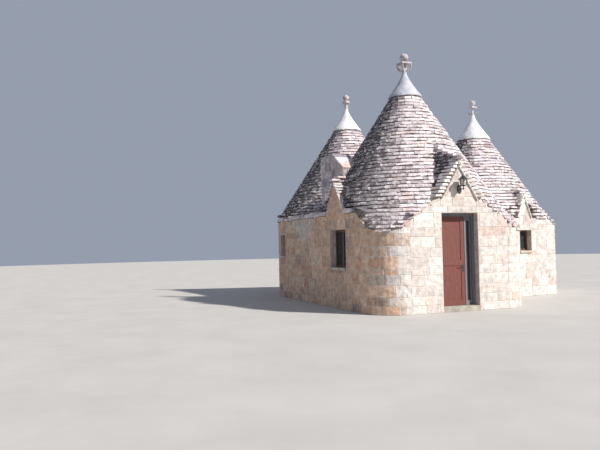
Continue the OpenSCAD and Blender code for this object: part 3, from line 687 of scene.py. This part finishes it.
# %% Copings
def coping(rng, g, side, width, proud, palette):
    stones = []
    way = (g["way"] * side).to_3d() * g["half"] - Vector((0, 0, g["top"] - g["foot"]))
    slope_len = way.length
    way.normalize()
    out3 = (-g["in"]).to_3d()
    up = out3.cross(way)
    up = up if up.z > 0 else -up
    apex = g["face"].to_3d() + Vector((0, 0, g["top"]))
    half_depth = 0.06
    s = 0.0
    while s < slope_len - 0.05:
        length = min(rng.uniform(0.22, 0.36), slope_len - s + 0.01)
        pattern, faces = rng.choice(slab_patterns)
        u = stretch(pattern[:, 0], length / 2 * 0.99, 0.008)
        v = stretch(pattern[:, 1], half_depth, 0.008)
        w = stretch(pattern[:, 2], width / 2, 0.007)
        middle = apex + way * (s + length / 2) + out3 * (proud - half_depth) + up * width / 2
        points = np.outer(u, way) + np.outer(v, out3) + np.outer(w, up) + np.array(middle)
        stones.append((points, faces, pick(rng, palette)))
        s += length
    return stones


COPING, WHITE_BAND = 0.032, 0.11  # thickness of the thin copings and of the whitewashed one
WHITEWASH = [(1, (0.80, 0.76, 0.73))]
print("Copings:", COPING, "thick, whitewashed band:", WHITE_BAND)

# %% [markdown]
# Each gable has a saddle of slabs. Level rows run back from the verge to the cone on both slopes. The ridge climbs
# inwards, so a row above the gable's top starts farther back, under a flat slab that bridges the ridge. The ends
# at the verge show as a stair.


# %% Gable saddles
def facing_side(along, g, side):
    """Outward way across a row, towards its side of the gable."""
    turned = Vector((along.y, -along.x))
    return -turned if turned.dot(g["way"]) * side < 0 else turned


def saddle_row(rng, g, side, middle, row, thick, climbed):
    """One slope's slabs of a row, from the verge inwards until they run into the cone."""
    stones = []
    b = max(-g["left_verge"] if side < 0 else -VERGE / 2, climbed) + rng.uniform(-0.006, 0.004)
    fan = CLIMB / g["outer"]
    along = (g["in"] + g["way"] * (side * fan)).normalized()
    outward = facing_side(along, g, side)
    first = True
    while b < 1.5:
        length = rng.uniform(0.16, 0.30)
        near = middle - max(b, 0.0) * CLIMB
        inner = max(0.0, (g["top"] - near + row / 4) / g["steep"])
        edge = (g["ridge"] - near) / g["outer"]
        width = min(edge, max(edge - inner, 0.05)) if first else min(edge, 0.26)
        a = side * (edge + fan * length / 2 - width / 2 + rng.gauss(0, 0.004))
        spot = g["face"] + g["way"] * a + g["in"] * (b + length / 2)
        if edge < 0.04:
            b += 0.05
            continue
        if cone_height(g["owner"], spot.x, spot.y) > middle + 0.09 or in_chimney(spot.x, spot.y, middle):
            break
        end_stone = first and climbed < -0.1
        # Inner saddle slabs carry painted shade and light by the way they face.
        tint = pick(rng, VERGES, 0.10) if end_stone else painted_light_by_facing(pick(rng, ROOF, 0.10), outward)
        stones.append(slab(rng, (spot.x, spot.y, middle + rng.gauss(0, 0.002)), along, outward,
                           (length * 0.985, width, thick), tint, rng.uniform(0.0, 0.05)))
        b += length
        first = False
    return stones


def saddle_slabs(name, seed, row):
    rng = random.Random(seed)
    g = gables[name]
    stones = []
    z = g["foot"] + 0.01
    while True:
        thick = row - rng.uniform(0.020, 0.032)
        middle = z + row / 2
        climbed = (middle - g["ridge"]) / CLIMB
        spot = g["face"] + g["in"] * (max(-VERGE, climbed) + 0.1)
        if middle > g["ridge"] and cone_height(g["owner"], spot.x, spot.y) > middle + 0.03:
            break
        for side in (-1, 1):
            stones += saddle_row(rng, g, side, middle, row, thick, climbed)
        if middle > g["ridge"] - 0.06:
            stones.append(slab(rng, (spot.x, spot.y, middle + row / 2 - 0.01), g["in"], g["way"],
                               (0.24, 0.20 + rng.uniform(-0.02, 0.04), 0.05), pick(rng, ROOF, 0.10)))
        z += row
    if name == "right":
        stones += coping(rng, g, -1, WHITE_BAND, 0.03, WHITEWASH)
    return stones + coping(rng, g, 1, COPING, 0.045, VERGES)


for name, seed, row in (("front", 21, 0.084), ("left", 22, 0.075), ("right", 23, 0.080)):
    saddle = masonry(name + "_saddle", saddle_slabs(name, seed, row), roof_stone)
    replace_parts(saddle, name + "_gable_slabs")

# %% [markdown]
# The wall face is laid up in rows of squared blocks with tight joints, a few millimetres proud of the masonry
# behind. A run is a straight or curved stretch of the plan, given by its length and by the place and outward way
# at each distance, so that one function can lay blocks on all of them.

# %% Runs of wall
CREAM = [(6, (0.68, 0.62, 0.585)), (4, (0.72, 0.675, 0.65)), (2, (0.66, 0.57, 0.52)), (1, (0.64, 0.51, 0.45))]
ROSY = [(5, (0.67, 0.45, 0.31)), (4, (0.71, 0.50, 0.36)), (2, (0.60, 0.41, 0.30)), (2, (0.62, 0.38, 0.26)),
        (1, (0.72, 0.56, 0.42)), (1, (0.46, 0.34, 0.28))]


def line(start, end):
    start, end = Vector(start), Vector(end)
    way = (end - start).normalized()
    return {"length": (end - start).length, "at": lambda s: start + way * s,
            "out": lambda s: Vector((way.y, -way.x))}


def arc(centre, radius, a0, a1):
    """Counter-clockwise, so that out is away from the centre."""
    centre = Vector(centre)

    def out(s):
        angle = a0 + s / radius
        return Vector((math.cos(angle), math.sin(angle)))
    return {"length": radius * (a1 - a0), "at": lambda s: centre + out(s) * radius, "out": out}


def roof_line(run, s):
    """Where the wall ends under the slabs."""
    p = run["at"](s)
    head = level_head(p.x, p.y)
    top = roof_height(p.x, p.y) - 0.03
    return top if head is None else min(top, head)


def ceiling_with(name):
    """The roof line, raised to the slopes of one gable."""
    g = gables[name]

    def ceiling(run, s):
        p = run["at"](s)
        a = abs(in_gable(g, p.x, p.y)[0])
        return max(roof_line(run, s), g["top"] - g["steep"] * a if a < g["half"] else 0.0)
    return ceiling


print("Wall colours:", len(CREAM), "cream,", len(ROSY), "rosy")

# %% [markdown]
# Blocks are cut round the openings and under the roof, as a mason would cut them: a block that meets a hole is
# split into the parts beside it, and its top follows the roof line.


# %% Cutting and laying blocks
def minus(block, hole):
    """A block (s0, s1, z0, z1) without a hole, as up to four blocks."""
    s0, s1, z0, z1 = block
    h0, h1, low, high = hole
    if s1 <= h0 or s0 >= h1 or z1 <= low or z0 >= high:
        return [block]
    left = [(s0, h0, z0, z1)] if h0 > s0 else []
    right = [(h1, s1, z0, z1)] if h1 < s1 else []
    below = [(max(s0, h0), min(s1, h1), z0, low)] if low > z0 else []
    above = [(max(s0, h0), min(s1, h1), high, z1)] if high < z1 else []
    return left + right + below + above


def pad(rng, run, block, top, palette, proud=(0.002, 0.006), joint=0.003):
    """One facing block, bent to the run, with a slightly pillowed face."""
    s0, s1, z0, z1 = block
    pattern, faces = rng.choice(block_patterns)
    half = (s1 - s0) / 2 - joint
    s = (s0 + s1) / 2 + stretch(pattern[:, 0], half, 0.010) * rng.choice((-1, 1))
    share = (stretch(pattern[:, 2], 0.5, 0.04) + 0.5)
    stand = rng.uniform(*proud)
    swell = (1 - pattern[:, 0] ** 2) * (1 - pattern[:, 2] ** 2) * rng.uniform(0.001, 0.006)
    depth = stretch(pattern[:, 1], 0.02, 0.006) - 0.02 + stand + swell
    points = np.empty((len(s), 3))
    for i, si in enumerate(s):
        p, out = run["at"](si), run["out"](si)
        ceiling = min(z1, top(run, si))
        up = z0 + joint + share[i] * (ceiling - z0 - 2 * joint)
        points[i] = (p.x + out.x * depth[i], p.y + out.y * depth[i], up)
    return points, faces, pick(rng, palette)


def under_top(run, block, top):
    """The part of a block's width where the wall still stands 40 mm over its bed."""
    s0, s1, z0, z1 = block
    high = [s for s in np.linspace(s0, s1, 25) if top(run, s) > z0 + 0.04]
    return (high[0], high[-1], z0, z1) if high else (s0, s0, z0, z1)


def face_up(rng, run, rows, widths, top, palette, holes=(), skip=None, **look):
    stones = []
    for z0, z1 in zip(rows, rows[1:]):
        s = -rng.uniform(0, widths[1])
        while s < run["length"]:
            width = rng.uniform(*widths)
            blocks = [(max(s, 0.0), min(s + width, run["length"]), z0, z1)]
            s += width
            for hole in holes:
                blocks = [b for block in blocks for b in minus(block, hole)]
            for block in blocks:
                block = under_top(run, block, top)
                if block[1] - block[0] < 0.05 or block[3] - block[2] < 0.03:
                    continue
                p = run["at"]((block[0] + block[1]) / 2)
                if skip is not None and skip(p.x, p.y):
                    continue
                colours = palette(p.x, p.y) if callable(palette) else palette
                stones.append(pad(rng, run, block, top, colours, **look))
    return stones


def rows_to(rng, top, keep):
    """Row heights from the ground up, with a joint at each height in keep."""
    rows = [0.0]
    while rows[-1] < top:
        rows.append(rows[-1] + rng.uniform(0.19, 0.28))
    for z in keep:
        nearest = min(range(1, len(rows)), key=lambda i: abs(rows[i] - z))
        rows[nearest] = z
    return sorted(set(rows))


print("A block round a hole is cut into", len(minus((0, 9, 0, 9), (3, 6, 3, 6))), "parts")

# %% [markdown]
# The main room's front and its two round corners are one piece. The left corner is warm in colour like the left
# wall, and cream where it turns to the front. Joints are kept at the top of the doorway and of its lintel.

# %% Facing of the front
DOOR_TOP, LINTEL_TOP = 2.28, 2.43
SILL, WINDOW_TOP = 1.02, 1.97
WIDE_BLOCKS, MIDDLE_BLOCKS, CORNER_BLOCKS = (0.30, 0.55), (0.28, 0.46), (0.26, 0.42)


def corner_palette(x, y):
    return ROSY if x < -1.75 else CREAM


rng = random.Random(31)
front_rows = rows_to(rng, 3.5, keep=(DOOR_TOP, LINTEL_TOP))
left_rows = rows_to(rng, 3.3, keep=(SILL, WINDOW_TOP))
corner_y = CORNER - HALF_D
door_hole = (STRAIGHT - 0.5, STRAIGHT + 0.5, 0.0, DOOR_TOP)
front_stones = face_up(rng, line((-STRAIGHT, -HALF_D), (STRAIGHT, -HALF_D)), front_rows, WIDE_BLOCKS,
                       ceiling_with("front"), CREAM, [door_hole])
front_stones += face_up(rng, arc((-STRAIGHT, corner_y), CORNER, math.pi, 1.5 * math.pi), left_rows,
                        CORNER_BLOCKS, roof_line, corner_palette)
front_stones += face_up(rng, arc((STRAIGHT, corner_y), CORNER, -math.pi / 2, 0), front_rows, CORNER_BLOCKS,
                        roof_line, CREAM)
front_stones += face_up(rng, line((HALF_W, corner_y), (HALF_W, 0.16)), front_rows, (0.28, 0.45), roof_line, CREAM)
masonry("front_facing", front_stones, facing_stone)

# %% [markdown]
# The left wall runs straight from the round corner to the left room and then round it. Its window stands under
# the gable. The slit window sits where the straight run meets the curve, so both runs are cut for it.

# %% Facing of the left side
SLIT_HALF, SLIT_LOW, SLIT_HIGH = 0.21, 1.22, 1.93


def buried(x, y):
    return outline(x, y) < -0.02


window_mid = cones["left"]["y"] + 0.145
window_hole = (window_mid - 0.455, window_mid + 0.455, 0.96, WINDOW_TOP)
slit_hole = (-SLIT_HALF, SLIT_HALF, SLIT_LOW, SLIT_HIGH)
left_run = line((-HALF_W, cones["left"]["y"]), (-HALF_W, corner_y))
left_arc = arc((cones["left"]["x"], cones["left"]["y"]), LEFT_R, -math.pi / 3, math.pi)
slit_on_arc = (left_arc["length"] - SLIT_HALF, left_arc["length"] + SLIT_HALF, SLIT_LOW, SLIT_HIGH)
left_stones = face_up(rng, left_run, left_rows, MIDDLE_BLOCKS, ceiling_with("left"), ROSY,
                      [window_hole, slit_hole])
left_stones += face_up(rng, left_arc, left_rows, MIDDLE_BLOCKS, roof_line, ROSY, [slit_on_arc], skip=buried)
masonry("left_facing", left_stones, facing_stone)

# %% [markdown]
# The right room has a flat front between two arcs. The sunny front is cream, and the back warms to the colour of
# the other hidden walls.

# %% Facing of the right room
RIGHT_SILL, RIGHT_TOP, RIGHT_WINDOW_HALF = 1.26, 1.91, 0.24


def right_palette(x, y):
    return CREAM if y < 1.6 else ROSY


right_rows = rows_to(rng, 3.0, keep=(1.32, RIGHT_TOP))
face_mid = RIGHT_AXIS + RIGHT_OUT * RIGHT_D
right_face = line(face_mid - RIGHT_WAY * RIGHT_HALF, face_mid + RIGHT_WAY * RIGHT_HALF)
face_turn = math.asin(RIGHT_HALF / RIGHT_R)
side_arc = arc(RIGHT_AXIS, RIGHT_R, TURN - math.pi / 2 + face_turn, math.pi)
near_arc = arc(RIGHT_AXIS, RIGHT_R, math.radians(-131), TURN - math.pi / 2 - face_turn)
right_hole = (RIGHT_HALF - RIGHT_WINDOW_HALF, RIGHT_HALF + RIGHT_WINDOW_HALF, RIGHT_SILL, RIGHT_TOP)
right_stones = face_up(rng, right_face, right_rows, MIDDLE_BLOCKS, ceiling_with("right"), CREAM, [right_hole])
right_stones += face_up(rng, side_arc, right_rows, MIDDLE_BLOCKS, roof_line, right_palette, skip=buried)
right_stones += face_up(rng, near_arc, right_rows, MIDDLE_BLOCKS, roof_line, CREAM)
masonry("right_facing", right_stones, facing_stone)

# %% [markdown]
# Each plaster cap ends in a lip, trowelled by hand over the first course of slabs, so its edge wavers. It starts
# as an open cylinder, is cut into bands, is drawn onto the cone with a little noise, and gets its thickness from
# Solidify.

# %% Plaster lips
LIP_SIDES, LIP_OVER, LIP_THICK = 96, 0.035, 0.03


def lip(name, drop, material, seed):
    """drop: how far the lip comes down below the cap's foot."""
    cone = cones[name]
    foot_r = (cone["apex"] - cone["top"] + COURSE / 2) / RISE
    bpy.ops.object.select_all(action="DESELECT")
    bpy.ops.mesh.primitive_cylinder_add(vertices=LIP_SIDES, radius=1, depth=1, end_fill_type="NOTHING")
    piece = bpy.context.object
    piece.name = name + "_cap_lip"
    bpy.ops.object.mode_set(mode="EDIT")
    bpy.ops.mesh.select_all(action="SELECT")
    bpy.ops.mesh.subdivide(number_cuts=3)
    bpy.ops.object.mode_set(mode="OBJECT")
    for vertex in piece.data.vertices:
        share = 0.5 - vertex.co.z
        angle = math.atan2(vertex.co.y, vertex.co.x)
        around = Vector((math.cos(angle), math.sin(angle), seed))
        wave = noise.noise(around * 2.3) * 0.022 + noise.noise(around * 7.0) * 0.008
        z = cone["top"] + LIP_OVER - share * (LIP_OVER + drop + wave)
        r = foot_r + 0.003 + (cone["top"] - z) / RISE * (1 - 0.35 * share)
        r += noise.noise(around * 5.0 + Vector((0, 0, share))) * 0.004
        vertex.co = Vector((cone["x"] + r * math.cos(angle), cone["y"] + r * math.sin(angle), z))
    thicken = piece.modifiers.new("thickness", "SOLIDIFY")
    thicken.thickness = LIP_THICK
    thicken.offset = -1
    bpy.ops.object.modifier_apply(modifier=thicken.name)
    bpy.ops.object.shade_smooth_by_angle(angle=math.radians(50))
    piece.data.materials.append(material)
    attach(piece, "house")
    print(piece.name, len(piece.data.polygons), "faces")


for name, drop, material in (("main", 0.065, grey_plaster), ("left", 0.045, plaster), ("right", 0.07, plaster)):
    lip(name, drop, material, len(name))

# %% [markdown]
# The chimney is a stack of tall narrow blocks on the left wall head, rougher and greyer than the walls.

# %% Chimney stack
GREYS = [(3, (0.44, 0.40, 0.44)), (3, (0.52, 0.46, 0.48)), (2, (0.55, 0.44, 0.40)), (2, (0.33, 0.30, 0.35)),
         (1, (0.62, 0.57, 0.58))]
stack_rows = [WALL_H + z for z in (0, 0.24, 0.43, 0.66, 0.84, 1.05, 1.22, 1.44, 1.61)]
x0, x1, y0, y1, stack_z, slope = (CHIMNEY[k] for k in ("x0", "x1", "y0", "y1", "z", "slope"))


def stack_top(run, s):
    return stack_height(run["at"](s).y)


rng = random.Random(41)
stack_stones = []
for run in (line((x0, y1), (x0, 0.0)), line((x1, 0.0), (x1, y1)), line((x0, 0.0), (x1, 0.0)),
            line((x1, y1), (x0, y1))):
    stack_stones += face_up(rng, run, stack_rows, (0.13, 0.28), stack_top, GREYS, proud=(0.004, 0.020),
                            joint=0.006)
print("Chimney blocks:", len(stack_stones))

# %% [markdown]
# Its shoulder slopes down to the gable under slabs that lie along the slope, and thin slabs edge its mouth.

# %% Chimney shoulder and mouth
slope_len = math.hypot(y0, y0 * slope)
way = Vector((0, 1, slope)).normalized()
mid_x, mid_y = (x0 + x1) / 2, (y0 + y1) / 2
foot = Vector((0, 0, stack_z - y0 * slope))
run_up = 0.0
while run_up < slope_len - 0.1:
    length = min(rng.uniform(0.22, 0.34), slope_len - run_up)
    pattern, faces = rng.choice(slab_patterns)
    middle = foot + way * (run_up + length / 2)
    u = stretch(pattern[:, 0], 0.25, 0.012)
    v = stretch(pattern[:, 1], length / 2 + 0.02, 0.012)
    w = stretch(pattern[:, 2], 0.03, 0.01) + 0.012
    points = np.outer(u, (1, 0, 0)) + np.outer(v, way) + np.outer(w, (0, -way.z, way.y))
    stack_stones.append((points + np.array((mid_x, middle.y, middle.z)), faces, pick(rng, GREYS)))
    run_up += length
for side in (-1, 1):
    for k in range(3):
        centre = (mid_x + side * 0.185, y0 + (k + 0.5) * 0.25, stack_z + 0.012)
        stack_stones.append(slab(rng, centre, (0, 1), (side, 0), (0.245, 0.13, 0.05), pick(rng, GREYS)))
    centre = (mid_x, mid_y + side * 0.2475, stack_z + 0.01)
    stack_stones.append(slab(rng, centre, (1, 0), (0, side), (0.25, 0.25, 0.05), pick(rng, GREYS)))
masonry("chimney_facing", stack_stones, facing_stone)

# %% [markdown]
# The CAD nodes that stay in view get their materials here. Walls that the facing covers show only in the joints
# and reveals, so they are mortar.

# %% CAD nodes' materials
# The domes take the near-black stone that paints the shade in the gaps between slabs.
finish = {
    "room_floors": floor_flags, "door_threshold": floor_flags, "main_cap": grey_plaster, "left_cap": plaster,
    "right_cap": plaster, "main_pinnacle": weathered, "left_pinnacle": weathered, "right_pinnacle": weathered,
    "pinnacle_balls": weathered, "door_frame": grey_paint, "wide_leaf": door_timber, "door_handle": iron,
    "narrow_leaf": grey_paint, "narrow_leaf_glass": dark_glass, "window_frames": window_timber,
    "window_glass": dark_glass, "wall_lantern": iron, "lantern_glass": frosted, "main_dome": gap_shade_stone,
    "left_dome": gap_shade_stone, "right_dome": gap_shade_stone}
for name, node in nodes.items():
    node.data.materials.clear()
    node.data.materials.append(finish.get(name, mortar))
print("Finished nodes:", len(nodes))

# %% [markdown]
# A plain pale floor lets the shadow ground the house. It is only for the picture.

# %% Floor
bpy.ops.object.select_all(action="DESELECT")
bpy.ops.mesh.primitive_circle_add(vertices=64, radius=60, fill_type="NGON", location=(0, 0, -0.002))
ground = bpy.context.object
ground.name = "ground"
ground_paint, tree, surface, coords = shader("ground_paint", 0.95)
pale = ramp(tree, noise_node(tree, coords, 0.8), [(0.3, (0.43, 0.415, 0.40)), (0.7, (0.48, 0.465, 0.45))])
tree.links.new(pale, surface.inputs["Base Color"])
ground.data.materials.append(ground_paint)
print("Floor ready")

# %% [markdown]
# One soft sun stands front right, 38 degrees up, so that the left wall lies in open shade and the lantern's shadow
# falls to its lower left as in the photograph. An even bluish sky fills the shade.

# %% Light
SUN_TURN, SUN_HEIGHT = math.radians(40), math.radians(38)
bpy.ops.object.light_add(type="SUN")
sun = bpy.context.object
sun.data.energy = 5.8
sun.data.angle = math.radians(2.5)
sun.data.color = (1.0, 0.955, 0.89)
toward = Vector((math.sin(SUN_TURN) * math.cos(SUN_HEIGHT), -math.cos(SUN_TURN) * math.cos(SUN_HEIGHT),
                 math.sin(SUN_HEIGHT)))
sun.rotation_mode = "QUATERNION"
sun.rotation_quaternion = toward.to_track_quat("Z", "Y")
world = bpy.data.worlds.new("studio")
bpy.context.scene.world = world
world.use_nodes = True
world.node_tree.nodes["Background"].inputs["Color"].default_value = (0.72, 0.81, 1.0, 1)
world.node_tree.nodes["Background"].inputs["Strength"].default_value = 0.42
bpy.context.scene.view_settings.view_transform = "Standard"
print("Light ready")
